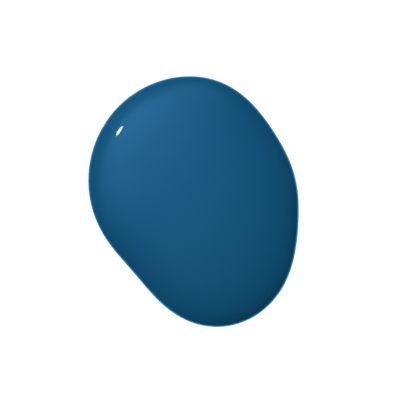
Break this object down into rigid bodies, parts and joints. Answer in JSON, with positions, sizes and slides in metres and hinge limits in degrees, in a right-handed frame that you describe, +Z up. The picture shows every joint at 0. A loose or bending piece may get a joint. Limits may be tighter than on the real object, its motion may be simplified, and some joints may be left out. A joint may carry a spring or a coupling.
{
  "type": "paint pool",
  "caption": "Poured pool of glossy blue paint: smooth rounded outline, thin brighter foot all round, steep rounded edge and low domed top; rests flat.",
  "frame": {"origin": "middle of the pool's bounding box, on the surface that the pool rests on", "axes": "+Z up, out of the surface; +Y along the longer side of the pool; +X across it"},
  "size_m": [0.0368, 0.0438, 0.003],
  "materials": {
    "paint_edge": "high gloss, thin enough for the white surface below to lighten it",
    "paint_skin": "wet high gloss",
    "paint_wet": "wet gloss"
  },
  "bodies": {
    "root": {"edge_film": "paint_edge", "surface_skin": "paint_skin", "wet_core": "paint_wet"}
  },
  "joints": []
}
